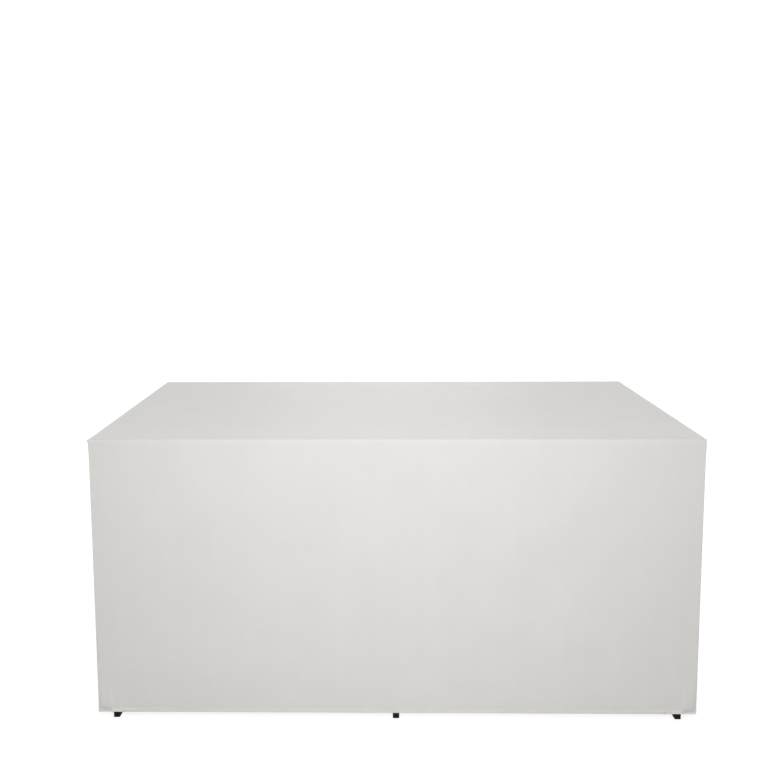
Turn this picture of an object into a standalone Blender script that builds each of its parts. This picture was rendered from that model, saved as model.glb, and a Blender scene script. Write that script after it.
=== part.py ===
"""Folding buffet table with a stretch cover.

A rigid front frame stands on three feet. A side frame is hinged to each end of it and folds flat
behind it. A loose board lies on the frames, located by pegs, and a stretch cover is pulled over
everything and left open at the back under an arch.

X runs along the table, Y towards its back and Z up from the floor, in metres.
"""

import math

import bmesh
import bpy
from mathutils import Matrix, Vector

# Overall size, over the cover
LENGTH = 1.830
DEPTH = 0.800
HEIGHT = 0.880

# Fits
GAP = 0.0003  # between pieces that touch
COVER_EASE = 0.002  # between the frame and the cover
STOP_GAP = 0.001  # between a side frame's front end and the front rails
PEG_CLEAR = 0.0005  # round a peg in the board
PIN_CLEAR = 0.0003  # round a hinge pin

# Cover
FABRIC = 0.001
HEM_HEIGHT = 0.018  # hem above the floor, front and sides
STRIP_WIDTH = 0.030  # leg strip over each rear post
STRIP_HEIGHT = 0.005  # leg strip above the floor
ARCH_SPRING = 0.375  # ends of the arch above the floor
ARCH_RISE = 0.140
ARCH_POWER = 3.6  # a flat crown that falls away fast near the ends
ARCH_STEPS = 48

# Board
BOARD_THICK = 0.022
BOARD_EDGE = 0.002

# Frame tube
TUBE = 0.025
TUBE_WALL = 0.0015
TUBE_CORNER = 0.002
CORNER_STEPS = 3
CAP_HEAD = 0.002
CAP_PLUG = 0.012

# Feet
FOOT_HEIGHT = 0.020
FOOT_LENGTH = 0.023
FOOT_WIDTH = 0.022
FOOT_TAPER = 0.006
CENTRE_FOOT_LENGTH = 0.020
STUD_RADIUS = 0.004
STUD_LENGTH = 0.012
REAR_FOOT_INSET = 0.035  # from the side frame's rear end

# Hinges
HINGE_OFFSET = 0.006  # from the axis to each frame face
HINGE_SETBACK = 0.009  # from the axis to the front post
HINGE_RISE = 0.008  # from a rail to the nearest leaf
KNUCKLE_RADIUS = 0.005
PIN_RADIUS = 0.003
PIN_HEAD_RADIUS = 0.0044
PIN_HEAD = 0.0015
LEAF_THICK = 0.002
LEAF_WIDTH = 0.030
LEAF_HEIGHT = 0.072
LEAF_NOTCH = 0.0065
CENTRE_KNUCKLE = 0.028

# Hem clips
CLIP_COUNT = 6  # along the front rail
CLIP_INSET = 0.0995  # from the front frame's end to the first clip
CLIP_WIDTH = 0.038
CLIP_THICK = 0.003
CLIP_TAB = 0.036
CLIP_LEG = 0.012
CLIP_RIM = 0.007
CLIP_RECESS = 0.0015
CLIP_LEAF_ROOM = 0.010  # between a hinge leaf and the first clip of a side rail

# Board supports
PAD_THICK = 0.004
PAD_LENGTH = 0.060
PAD_WIDTH = 0.018
PAD_EDGE = 0.001
PAD_INSET = 0.090  # from each end of a side frame
PEG_INSET = 0.150  # from the front frame's end
PEG_RADIUS = 0.005
PEG_HEIGHT = 0.012
PEG_TIP = 0.0015
PEG_COLLAR = 0.010
PEG_STEM_RADIUS = 0.004
PEG_STEM = 0.010
PEG_HOLE_END = 0.001

ROUND_STEPS = 24
MERGE = 0.00001
OVERCUT = 0.010

# Faces and axes that several pieces share
inner_x = LENGTH / 2 - FABRIC
inner_y = DEPTH / 2 - FABRIC
frame_x = inner_x - COVER_EASE
frame_y = inner_y - COVER_EASE
front_rail_y = -frame_y + TUBE / 2
front_back_y = -frame_y + TUBE
side_front_y = front_back_y + STOP_GAP
side_rail_x = frame_x - TUBE / 2
hinge_x = frame_x - TUBE - HINGE_OFFSET
hinge_y = front_back_y + HINGE_OFFSET
post_x = hinge_x - HINGE_SETBACK - TUBE / 2
board_top_z = HEIGHT - FABRIC - GAP
board_bottom_z = board_top_z - BOARD_THICK
support_z = board_bottom_z - GAP - PAD_THICK
frame_top_z = support_z - GAP
bottom_rail_top_z = FOOT_HEIGHT + TUBE
top_rail_bottom_z = frame_top_z - TUBE
panel_top_z = HEIGHT - FABRIC - GAP
low_hinge_z = bottom_rail_top_z + HINGE_RISE + LEAF_HEIGHT / 2
high_hinge_z = top_rail_bottom_z - HINGE_RISE - LEAF_HEIGHT / 2

SIDES = (("left", -1), ("right", 1))
FACE_BACK = Matrix.Rotation(math.pi / 2, 4, "X")


def clear_scene():
    for obj in list(bpy.data.objects):
        bpy.data.objects.remove(obj)


def make_collection(name):
    collection = bpy.data.collections.new(name)
    bpy.context.scene.collection.children.link(collection)
    return collection


def make_material(name, colour, roughness, metallic=0.0):
    material = bpy.data.materials.new(name)
    material.use_nodes = True
    shader = material.node_tree.nodes["Principled BSDF"]
    shader.inputs["Base Color"].default_value = (*colour, 1.0)
    shader.inputs["Roughness"].default_value = roughness
    shader.inputs["Metallic"].default_value = metallic
    return material


def make_body(name, location):
    body = bpy.data.objects.new(name, None)
    body.location = location
    body.empty_display_size = TUBE
    parts.objects.link(body)
    return body


def add_part(name, mesh, material, body, location, rotation=None):
    """Place a mesh in the world and hang it on the empty of the body that it moves with."""
    part = bpy.data.objects.new(name, mesh)
    parts.objects.link(part)
    mesh.materials.clear()
    mesh.materials.append(material)
    part.parent = body
    part.matrix_local = Matrix.Translation(Vector(location) - body.location) @ (rotation or Matrix())
    return part


def add_cutter(name, mesh, location, rotation=None):
    cutter = bpy.data.objects.new(name, mesh)
    cutters.objects.link(cutter)
    cutter.hide_render = True
    cutter.display_type = "WIRE"
    cutter.matrix_world = Matrix.Translation(location) @ (rotation or Matrix())
    return cutter


def combine(part, other, operation):
    modifier = part.modifiers.new(other.name, "BOOLEAN")
    modifier.object = other
    modifier.operation = operation


def finish_mesh(name, bm):
    mesh = bpy.data.meshes.new(name)
    bm.to_mesh(mesh)
    bm.free()
    return mesh


def scaled_cube(size):
    bm = bmesh.new()
    bmesh.ops.create_cube(bm, size=1.0)
    bmesh.ops.scale(bm, vec=size, verts=bm.verts)
    return bm


def box_mesh(name, size, edge=0.0):
    bm = scaled_cube(size)
    if edge:
        bmesh.ops.bevel(bm, geom=bm.edges[:], offset=edge, segments=2, profile=0.5, affect="EDGES")
    return finish_mesh(name, bm)


def cylinder_mesh(name, radius, depth):
    bm = bmesh.new()
    bmesh.ops.create_cone(
        bm, cap_ends=True, segments=ROUND_STEPS, radius1=radius, radius2=radius, depth=depth
    )
    return finish_mesh(name, bm)


def outline_mesh(name, outlines, thickness):
    """Fill flat outlines in the XY plane and give the sheet its thickness along Z."""
    curve = bpy.data.curves.new(name, "CURVE")
    curve.dimensions = "2D"
    curve.fill_mode = "BOTH"
    curve.extrude = thickness / 2
    for outline in outlines:
        spline = curve.splines.new("POLY")
        spline.points.add(len(outline) - 1)
        for point, (x, y) in zip(spline.points, outline):
            point.co = (x, y, 0.0, 1.0)
        spline.use_cyclic_u = True
    holder = bpy.data.objects.new(name, curve)
    parts.objects.link(holder)
    evaluated = holder.evaluated_get(bpy.context.evaluated_depsgraph_get())
    mesh = bpy.data.meshes.new_from_object(evaluated)
    bpy.data.objects.remove(holder)
    bm = bmesh.new()
    bm.from_mesh(mesh)
    bmesh.ops.remove_doubles(bm, verts=bm.verts, dist=MERGE)
    bm.to_mesh(mesh)
    bm.free()
    mesh.name = name
    return mesh


def turned_mesh(name, profile):
    """A profile of (radius, height) points, from the top of its axis down its outer side."""
    bm = bmesh.new()
    points = [bm.verts.new((radius, 0.0, height)) for radius, height in profile]
    for first, second in zip(points, points[1:]):
        bm.edges.new((first, second))
    return finish_mesh(name, bm)


def add_turned(name, mesh, material, body, location):
    part = add_part(name, mesh, material, body, location)
    screw = part.modifiers.new("Turn", "SCREW")
    screw.angle = math.tau
    screw.steps = ROUND_STEPS
    screw.render_steps = ROUND_STEPS
    screw.use_merge_vertices = True
    screw.merge_threshold = MERGE
    screw.use_smooth_shade = False
    return part


def arc(radius, start, stop, steps):
    """Points on a circle round the origin, between two angles."""
    for step in range(steps + 1):
        angle = start + (stop - start) * step / steps
        yield radius * math.cos(angle), radius * math.sin(angle)


def round_long_edges(bm):
    """Round the four edges that run along local X."""
    long_edges = [edge for edge in bm.edges if is_long(edge)]
    bmesh.ops.bevel(
        bm, geom=long_edges, offset=TUBE_CORNER, segments=CORNER_STEPS, profile=0.5, affect="EDGES"
    )


def is_long(edge):
    first, second = edge.verts
    return first.co.x * second.co.x < 0 and abs(first.co.y - second.co.y) < MERGE


def straight_tube_mesh(name, length):
    """The open skin of a square tube along local X, for Solidify to give it its wall."""
    bm = scaled_cube((length, TUBE, TUBE))
    round_long_edges(bm)
    bm.faces.ensure_lookup_table()
    ends = [face for face in bm.faces if abs(face.normal.x) > 0.9]
    bmesh.ops.delete(bm, geom=ends, context="FACES_ONLY")
    return finish_mesh(name, bm)


def add_straight_tube(name, length, material, body, location, rotation=None):
    part = add_part(name, straight_tube_mesh(name, length), material, body, location, rotation)
    wall = part.modifiers.new("Wall", "SOLIDIFY")
    wall.thickness = TUBE_WALL
    wall.offset = -1.0
    wall.use_even_offset = True
    return part


def mitred_tube_mesh(name, length):
    """A square bar along local X whose ends are mitred: its outer side, at local -Z, is longer."""
    bm = scaled_cube((length - GAP * math.sqrt(2), TUBE, TUBE))
    for vert in bm.verts:
        if vert.co.z > 0:
            vert.co.x -= math.copysign(TUBE, vert.co.x)
    round_long_edges(bm)
    return finish_mesh(name, bm)


def add_mitred_tube(name, length, material, body, location, rotation):
    part = add_part(name, mitred_tube_mesh(name, length), material, body, location, rotation)
    hollow = TUBE - 2 * TUBE_WALL
    core = box_mesh(name + "_core", (length + OVERCUT, hollow, hollow))
    combine(part, add_cutter(name + "_core", core, location, rotation), "DIFFERENCE")
    return part


def drill(part, name, radius, depth, location):
    """Cut a round upright hole, centred on a point."""
    combine(part, add_cutter(name, cylinder_mesh(name, radius, depth), location), "DIFFERENCE")


def foot_mesh(name, length, taper):
    """A glide under a rail along local X, narrower at its lower +X end by the taper."""
    bm = scaled_cube((length, FOOT_WIDTH, FOOT_HEIGHT - GAP))
    for vert in bm.verts:
        if vert.co.z < 0 and vert.co.x > 0:
            vert.co.x -= taper
    return finish_mesh(name, bm)


def add_foot(name, rail, body, x, y, length, taper, rotation=None):
    """A glide with a stud that goes up into a hole in its rail."""
    centre_z = (FOOT_HEIGHT - GAP) / 2
    part = add_part(name, foot_mesh(name, length, taper), foot_plastic, body, (x, y, centre_z), rotation)
    stud_name = name + "_stud"
    stud_depth = centre_z + STUD_LENGTH + GAP
    stud = cylinder_mesh(stud_name, STUD_RADIUS, stud_depth)
    combine(part, add_cutter(stud_name, stud, (x, y, centre_z + stud_depth / 2)), "UNION")
    drill(rail, name + "_hole", STUD_RADIUS + GAP, 2 * OVERCUT, (x, y, FOOT_HEIGHT))
    return part


def cap_mesh(name):
    """A tube end cap along local X, with its plug on the -X side."""
    bm = scaled_cube((CAP_HEAD, TUBE, TUBE))
    round_long_edges(bm)
    inner = [face for face in bm.faces if face.normal.x < -0.9]
    bmesh.ops.inset_region(bm, faces=inner, thickness=TUBE_WALL + GAP, use_even_offset=True)
    grown = bmesh.ops.extrude_face_region(bm, geom=inner)
    bmesh.ops.delete(bm, geom=inner, context="FACES_ONLY")
    moved = [item for item in grown["geom"] if isinstance(item, bmesh.types.BMVert)]
    bmesh.ops.translate(bm, vec=(-CAP_PLUG - GAP, 0.0, 0.0), verts=moved)
    bmesh.ops.recalc_face_normals(bm, faces=bm.faces)
    return finish_mesh(name, bm)


def clip_mesh():
    """A hem clip: a leg down the rail's inner face, a bridge over it and a tab on its outer side.

    The outline lies in local X, towards the cover, and local Y, up from the rail's top face.
    """
    half = TUBE / 2
    leg_x = -half - GAP
    bridge = GAP + CLIP_THICK
    outline = [
        (leg_x - CLIP_THICK, -CLIP_LEG),
        (leg_x, -CLIP_LEG),
        (leg_x, GAP),
        (half, GAP),
        (half, CLIP_TAB),
        (half - CLIP_THICK, CLIP_TAB),
        (half - CLIP_THICK, bridge),
        (leg_x - CLIP_THICK, bridge),
    ]
    return outline_mesh("hem_clip", [outline], CLIP_WIDTH)


def add_clip(name, mesh, body, location, turn):
    """Stand a clip on a rail and sink the panel in the middle of its tab."""
    rotation = Matrix.Rotation(turn, 4, "Z") @ FACE_BACK
    part = add_part(name, mesh, clip_plastic, body, location, rotation)
    bridge = GAP + CLIP_THICK
    panel_height = CLIP_TAB - bridge - 2 * CLIP_RIM
    panel = box_mesh(name + "_panel", (2 * CLIP_RECESS, panel_height, CLIP_WIDTH - 2 * CLIP_RIM))
    offset = rotation @ Vector((TUBE / 2 - CLIP_THICK, (CLIP_TAB + bridge) / 2, 0.0))
    cutter = add_cutter(name + "_panel", panel, Vector(location) + offset, rotation)
    combine(part, cutter, "DIFFERENCE")
    return part


def leaf_mesh(name):
    """A hinge leaf with its knuckle round local Z; the leaf runs along +X, the frame face is at -Y."""
    low = -HINGE_OFFSET + GAP
    high = low + LEAF_THICK
    meet = math.asin(high / KNUCKLE_RADIUS)
    outline = [(LEAF_WIDTH, low), (LEAF_WIDTH, high)]
    outline.extend(arc(KNUCKLE_RADIUS, meet, 1.5 * math.pi, ROUND_STEPS))
    outline.append((0.0, low))
    bore = list(arc(PIN_RADIUS + PIN_CLEAR, 0.0, math.tau, ROUND_STEPS))[:-1]
    return outline_mesh(name, [outline, bore], LEAF_HEIGHT)


def knuckle_gap_mesh(name, ranges):
    """Blocks that clear a leaf's knuckle over some heights, for the other leaf's knuckle."""
    bm = bmesh.new()
    reach = LEAF_NOTCH + KNUCKLE_RADIUS + OVERCUT
    for low, high in ranges:
        size = (reach, 2 * OVERCUT, high - low)
        place = Matrix.Translation((LEAF_NOTCH - reach / 2, 0.0, (low + high) / 2))
        bmesh.ops.create_cube(bm, size=1.0, matrix=place @ Matrix.Diagonal((*size, 1.0)))
    return finish_mesh(name, bm)


def add_leaf(name, mesh, gap_mesh, body, location, rotation):
    part = add_part(name, mesh, hinge_steel, body, location, rotation)
    combine(part, add_cutter(name + "_gap", gap_mesh, location, rotation), "DIFFERENCE")
    return part


def pin_mesh():
    half = LEAF_HEIGHT / 2
    head_low = half + GAP
    profile = [
        (0.0, head_low + PIN_HEAD),
        (PIN_HEAD_RADIUS, head_low + PIN_HEAD),
        (PIN_HEAD_RADIUS, head_low),
        (PIN_RADIUS, head_low),
        (PIN_RADIUS, -half - PIN_HEAD),
        (0.0, -half - PIN_HEAD),
    ]
    return turned_mesh("hinge_pin", profile)


def peg_mesh():
    """A board peg: tip in the board, collar under it, stem in the rail; the collar stands on z = 0."""
    top = PAD_THICK + PEG_HEIGHT
    profile = [
        (0.0, top),
        (PEG_RADIUS - PEG_TIP, top),
        (PEG_RADIUS, top - PEG_TIP),
        (PEG_RADIUS, PAD_THICK),
        (PEG_COLLAR, PAD_THICK),
        (PEG_COLLAR, 0.0),
        (PEG_STEM_RADIUS, 0.0),
        (PEG_STEM_RADIUS, -PEG_STEM),
        (0.0, -PEG_STEM),
    ]
    return turned_mesh("board_peg", profile)


def build_front_frame(body):
    rail_length = 2 * (frame_x - CAP_HEAD - GAP)
    post_length = top_rail_bottom_z - bottom_rail_top_z - 2 * GAP
    post_z = (top_rail_bottom_z + bottom_rail_top_z) / 2
    upright = Matrix.Rotation(math.pi / 2, 4, "Y")
    rails = {}
    for level, z in (("bottom", FOOT_HEIGHT + TUBE / 2), ("top", frame_top_z - TUBE / 2)):
        name = "front_" + level + "_rail"
        rails[level] = add_straight_tube(name, rail_length, frame_steel, body, (0, front_rail_y, z))
        for side, sign in SIDES:
            turn = Matrix() if sign > 0 else Matrix.Rotation(math.pi, 4, "Z")
            place = (sign * (frame_x - CAP_HEAD / 2), front_rail_y, z)
            add_part(name + "_cap_" + side, cap_mesh(name + "_cap"), cap_plastic, body, place, turn)
    for post, x in (("left", -post_x), ("centre", 0.0), ("right", post_x)):
        name = "front_" + post + "_post"
        add_straight_tube(name, post_length, frame_steel, body, (x, front_rail_y, post_z), upright)
    for side, sign in SIDES:
        turn = Matrix() if sign < 0 else Matrix.Rotation(math.pi, 4, "Z")
        name = "foot_front_" + side
        add_foot(name, rails["bottom"], body, sign * post_x, front_rail_y, FOOT_LENGTH, FOOT_TAPER, turn)
    add_foot("foot_front_centre", rails["bottom"], body, 0.0, front_rail_y, CENTRE_FOOT_LENGTH, 0.0)
    add_front_clips(body)
    return rails["top"]


def add_front_clips(body):
    mesh = clip_mesh()
    reach = frame_x - CLIP_INSET
    for index in range(CLIP_COUNT):
        x = -reach + 2 * reach * index / (CLIP_COUNT - 1)
        name = "clip_front_" + str(index + 1)
        add_clip(name, mesh, body, (x, front_rail_y, bottom_rail_top_z), -math.pi / 2)


def build_side_frame(side, sign, body):
    x = sign * side_rail_x
    depth = frame_y - side_front_y
    centre_y = (frame_y + side_front_y) / 2
    height = frame_top_z - FOOT_HEIGHT
    centre_z = (frame_top_z + FOOT_HEIGHT) / 2
    along_y = Matrix.Rotation(math.pi / 2, 4, "Z")
    roll = Matrix.Rotation(math.pi / 2, 4, "X")
    bars = (
        ("bottom_rail", depth, centre_y, FOOT_HEIGHT + TUBE / 2, Matrix()),
        ("rear_post", height, frame_y - TUBE / 2, centre_z, roll),
        ("top_rail", depth, centre_y, frame_top_z - TUBE / 2, roll @ roll),
        ("front_post", height, side_front_y + TUBE / 2, centre_z, roll @ roll @ roll),
    )
    tubes = {}
    for bar, length, y, z, turn in bars:
        name = side + "_" + bar
        tubes[bar] = add_mitred_tube(name, length, frame_steel, body, (x, y, z), turn @ along_y)
    foot_y = frame_y - REAR_FOOT_INSET
    forward = Matrix.Rotation(-math.pi / 2, 4, "Z")
    add_foot("foot_rear_" + side, tubes["bottom_rail"], body, x, foot_y, FOOT_LENGTH, FOOT_TAPER, forward)
    add_side_clips(side, sign, body, foot_y)
    for place, y in (("front", side_front_y + PAD_INSET), ("rear", frame_y - PAD_INSET)):
        name = "pad_" + side + "_" + place
        pad = box_mesh(name, (PAD_WIDTH, PAD_LENGTH, PAD_THICK), PAD_EDGE)
        add_part(name, pad, pad_rubber, body, (x, y, support_z + PAD_THICK / 2))


def add_side_clips(side, sign, body, foot_y):
    mesh = clip_mesh()
    first_y = hinge_y + LEAF_WIDTH + CLIP_LEAF_ROOM + CLIP_WIDTH / 2
    for place, y in (("front", first_y), ("middle", (first_y + foot_y) / 2)):
        turn = 0.0 if sign > 0 else math.pi
        name = "clip_" + side + "_" + place
        add_clip(name, mesh, body, (sign * side_rail_x, y, bottom_rail_top_z), turn)


def build_hinges(front_body, side_bodies):
    """Two butt hinges at each front corner; the front leaf has the outer knuckles."""
    leaf = leaf_mesh("hinge_leaf")
    side_leaf = leaf.copy()
    half = CENTRE_KNUCKLE / 2
    reach = LEAF_HEIGHT / 2 + OVERCUT
    front_gap = knuckle_gap_mesh("front_leaf_gap", [(-half - GAP, half + GAP)])
    side_gap = knuckle_gap_mesh("side_leaf_gap", [(-reach, -half), (half, reach)])
    pin = pin_mesh()
    flip_x = Matrix.Rotation(math.pi, 4, "Y")
    quarter = Matrix.Rotation(math.pi / 2, 4, "Z")
    for side, sign in SIDES:
        front_turn = Matrix() if sign < 0 else flip_x
        side_turn = quarter if sign > 0 else quarter @ Matrix.Rotation(math.pi, 4, "X")
        for level, z in (("lower", low_hinge_z), ("upper", high_hinge_z)):
            place = (sign * hinge_x, hinge_y, z)
            tail = side + "_" + level
            add_leaf("hinge_front_leaf_" + tail, leaf, front_gap, front_body, place, front_turn)
            add_leaf("hinge_side_leaf_" + tail, side_leaf, side_gap, side_bodies[side], place, side_turn)
            add_turned("hinge_pin_" + tail, pin, pin_steel, front_body, place)


def build_tabletop(body, front_body, top_rail):
    """The board, and the pegs on the front top rail that locate it."""
    size = (2 * (inner_x - GAP), 2 * (inner_y - GAP), BOARD_THICK)
    board_z = (board_top_z + board_bottom_z) / 2
    board = add_part(
        "table_board", box_mesh("table_board", size, BOARD_EDGE), board_laminate, body, (0, 0, board_z)
    )
    peg = peg_mesh()
    peg_reach = frame_x - PEG_INSET
    hole_depth = 2 * (PEG_HEIGHT + PEG_HOLE_END)
    for place, x in (("left", -peg_reach), ("centre", 0.0), ("right", peg_reach)):
        name = "board_peg_" + place
        add_turned(name, peg, peg_plastic, front_body, (x, front_rail_y, support_z))
        socket = (x, front_rail_y, board_bottom_z)
        drill(board, name + "_socket", PEG_RADIUS + PEG_CLEAR, hole_depth, socket)
        seat = (x, front_rail_y, frame_top_z)
        drill(top_rail, name + "_seat", PEG_STEM_RADIUS + GAP, OVERCUT, seat)


def valance_outline():
    """The rear valance in X and Z: straight to the top, arched along its lower edge."""
    half = LENGTH / 2
    outline = [(-half, panel_top_z), (half, panel_top_z)]
    for step in range(ARCH_STEPS + 1):
        share = 1 - 2 * step / ARCH_STEPS
        drop = ARCH_RISE * abs(share) ** ARCH_POWER
        outline.append((half * share, ARCH_SPRING + ARCH_RISE - drop))
    return outline


def build_cover(body):
    front_y = DEPTH / 2 - FABRIC / 2
    skirt = panel_top_z - HEM_HEIGHT
    skirt_z = (panel_top_z + HEM_HEIGHT) / 2
    top = box_mesh("cover_top_panel", (LENGTH, DEPTH, FABRIC))
    add_part("cover_top_panel", top, cover_knit, body, (0, 0, HEIGHT - FABRIC / 2))
    front = box_mesh("cover_front_panel", (LENGTH, FABRIC, skirt))
    add_part("cover_front_panel", front, cover_knit, body, (0, -front_y, skirt_z))
    valance = outline_mesh("cover_rear_valance", [valance_outline()], FABRIC)
    add_part("cover_rear_valance", valance, cover_knit, body, (0, front_y, 0), FACE_BACK)
    strip_height = ARCH_SPRING - GAP - STRIP_HEIGHT
    strip_z = STRIP_HEIGHT + strip_height / 2
    for side, sign in SIDES:
        name = "cover_" + side + "_panel"
        panel = box_mesh(name, (FABRIC, 2 * (inner_y - GAP), skirt))
        add_part(name, panel, cover_knit, body, (sign * (LENGTH - FABRIC) / 2, 0, skirt_z))
        name = "cover_leg_strip_" + side
        strip = box_mesh(name, (STRIP_WIDTH, FABRIC, strip_height))
        add_part(name, strip, cover_knit, body, (sign * (LENGTH - STRIP_WIDTH) / 2, front_y, strip_z))


clear_scene()
parts = make_collection("folding_buffet_table")
cutters = make_collection("cutters")

cover_knit = make_material("cover_knit", (0.77, 0.765, 0.74), 0.9)
board_laminate = make_material("board_laminate", (0.62, 0.60, 0.56), 0.5)
frame_steel = make_material("frame_steel", (0.018, 0.018, 0.019), 0.45, 0.3)
hinge_steel = make_material("hinge_steel", (0.03, 0.03, 0.032), 0.38, 0.8)
pin_steel = make_material("pin_steel", (0.42, 0.42, 0.43), 0.3, 1.0)
foot_plastic = make_material("foot_plastic", (0.015, 0.015, 0.015), 0.55)
cap_plastic = make_material("cap_plastic", (0.02, 0.02, 0.02), 0.5)
clip_plastic = make_material("clip_plastic", (0.025, 0.025, 0.026), 0.5)
peg_plastic = make_material("peg_plastic", (0.03, 0.03, 0.03), 0.5)
pad_rubber = make_material("pad_rubber", (0.03, 0.03, 0.03), 0.85)

front_frame = make_body("front_frame", (0, 0, 0))
tabletop = make_body("tabletop", (0, 0, board_bottom_z))
cover = make_body("cover", (0, 0, HEIGHT))
side_frames = {}
for side_name, side_sign in SIDES:
    side_frames[side_name] = make_body(side_name + "_side", (side_sign * hinge_x, hinge_y, 0))
    build_side_frame(side_name, side_sign, side_frames[side_name])
front_top_rail = build_front_frame(front_frame)
build_hinges(front_frame, side_frames)
build_tabletop(tabletop, front_frame, front_top_rail)
build_cover(cover)
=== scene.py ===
import math

import bpy
from mathutils import Matrix, Vector, noise


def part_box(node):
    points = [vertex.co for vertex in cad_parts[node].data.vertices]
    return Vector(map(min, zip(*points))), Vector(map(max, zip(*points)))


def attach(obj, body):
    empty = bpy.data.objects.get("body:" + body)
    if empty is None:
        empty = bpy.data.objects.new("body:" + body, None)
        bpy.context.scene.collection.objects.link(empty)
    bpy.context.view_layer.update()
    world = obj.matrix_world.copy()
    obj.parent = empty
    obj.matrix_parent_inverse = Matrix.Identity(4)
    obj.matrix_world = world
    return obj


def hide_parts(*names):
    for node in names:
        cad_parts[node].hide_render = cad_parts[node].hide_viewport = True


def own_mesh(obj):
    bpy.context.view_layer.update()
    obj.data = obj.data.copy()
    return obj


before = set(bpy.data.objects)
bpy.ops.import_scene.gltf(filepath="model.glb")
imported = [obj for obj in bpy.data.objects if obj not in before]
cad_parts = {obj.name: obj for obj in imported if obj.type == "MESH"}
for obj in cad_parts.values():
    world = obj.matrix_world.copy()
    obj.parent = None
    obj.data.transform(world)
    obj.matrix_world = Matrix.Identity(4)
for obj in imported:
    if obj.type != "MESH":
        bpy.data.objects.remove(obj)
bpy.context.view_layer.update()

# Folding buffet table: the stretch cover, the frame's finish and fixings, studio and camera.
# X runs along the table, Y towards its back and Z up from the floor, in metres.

# Faces of the CAD solids that the pieces follow
cover_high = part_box("cover_top_panel")[1]
board_low, board_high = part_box("table_board")
rail_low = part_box("front_bottom_rail")[0]
foot_low, foot_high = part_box("foot_front_right")
half_length = cover_high.x
half_depth = cover_high.y
panel_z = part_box("cover_front_panel")[0].z
spring_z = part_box("cover_rear_valance")[0].z
strip_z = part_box("cover_leg_strip_left")[0].z

SIDES = (("left", -1), ("right", 1))

# Cover cloth
CLOTH = 0.0009
ARCH_RISE = 0.140
ARCH_POWER = 3.6
TOP_DROP = 0.0003  # top face under the CAD box, so that the seam's lip stays near it
EDGE_RADIUS = 0.0019
EDGE_SINK = 0.0010  # the cloth leans in under the rounded edge
EDGE_LEAN = 3.0
LOWER_SINK = 0.0007  # skirt inside the board's edge
REAR_SINK = 0.0003  # less at the back, where the sleeves lie behind the valance
STEP_DROP = 0.030  # height over which the skirt steps in under the board
PANEL_BOW = 0.0002
HEM_FLARE = 0.0036  # the skirt widens towards its hem
FLARE_RISE = 0.800
FLARE_POWER = 1.3
HEM_LIFT = 0.0020  # hem above the CAD panels' lower edge
RAIL_ROOM = 0.00045  # between the hem and the rail behind it
LIP = 0.0004  # seam allowance that lifts the top along its edges
LIP_PLACE = 0.002
LIP_WIDTH = 0.010
LIP_LEAST = 0.10  # the lip's height varies from this share to all of it
LIP_WAVES = 2.6  # to a metre, as all waves below
SEAM_SHADE_WIDTH = 0.013  # strip of the top behind its front edge, over the seam allowance, darkened by painted shade of the seam's lip
SEAM_SHADE_SOFT = 0.006
# how dark the painted seam shade makes the cloth
SEAM_SHADE_TINT = 0.955
SEAM_SHADE_PATCHES = 9.0  # the painted shade shows in patches, about as many to a metre
SEAM_SHADE_LEVELS = (0.40, 0.60)
EAR = 0.0010  # corners where three seams meet
EAR_FRONT_LEFT = 0.0044  # one of them stands out more
EAR_REACH = 0.0055
EAR_RISE = 0.0010  # from the foot of the rounded edge to the ear
SEAM_DEPTH = 0.00035
SEAM_BELOW_EDGE = 0.0012
SEAM_WIDTH = 0.0008
SEAM_SPREAD = 0.18  # an upright seam, as a share of its rounded edge
RIPPLE = 0.00022
RIPPLE_BROAD = (4.5, 2.0)  # waves along the cloth and up it
RIPPLE_FINE = (16.0, 1.3)
BROAD_SHARE = 0.65
RIPPLE_FADE = 0.060
RIPPLE_DROP = 0.10  # from the board down to where the ripples are full
TOP_RIPPLE = 0.00020
TOP_WAVES = (4.0, 5.0)
PUCKER = 0.0020  # gathers in the side hems near the front corners
PUCKER_PITCH = 0.017
PUCKER_START = 0.010
PUCKER_REACH = 0.105
PUCKER_RISE = 0.012
PUCKER_LIFT = 0.7
CREASE = 0.0020  # crease in the front hem between a corner and its foot
CREASE_WIDTH = 0.0040
CREASE_END = 0.0325
CREASE_LOW = 0.0030
CREASE_SLOPE = 0.10
ROLL = 0.0060  # hem rolled out and up over a corner foot
ROLL_HEIGHT = 0.0046
DRAW_IN = 0.0026  # hem drawn in between a corner and its foot
DRAW_OUT = 0.0044  # cloth that stands out above it
DRAW_HEIGHT = 0.022
DRAW_FADE = 0.080
DRAW_START = 0.008
DRAW_STOP = 0.045
DRAW_SOFT = 0.016
FOLD_LIFT = 0.75  # a hem that leans out is drawn up, and one that is tucked in hangs lower
TUCK = 0.0075  # tuck beside a corner foot, where the hem is fastened
TUCK_WIDTH = 0.0030
TUCK_RISE = 0.0042
TUCK_LEFT = 0.070
TUCK_RIGHT = 0.090
RIDGE_LEFT = 0.0024  # fold that runs on from the tuck
RIDGE_RIGHT = 0.0009
RIDGE_AT = 0.0062
RIDGE_WIDTH = 0.0027
RIDGE_START = 0.006
RIDGE_LENGTH = 0.028
FOLD_END = 0.006  # over this length a fold dies away
HEM_WAVE = 0.0009
HEM_WAVES = 3.0
HEM_WAVE_START = 0.030
HEM_WAVE_RISE = 0.090

# Places in the noise, a different one for each unevenness
SKIRT_SEEDS = (3.1, 7.7)
VALANCE_SEEDS = (5.3, 9.7)
WAVE_SEED = (0.4, 1.9)
PUCKER_SEED = (2.2, 6.4)
LIP_SEED = 4.2
TOP_SEED = 11.3
SLEEVE_SEED = (3.0, 0.5)

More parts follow.
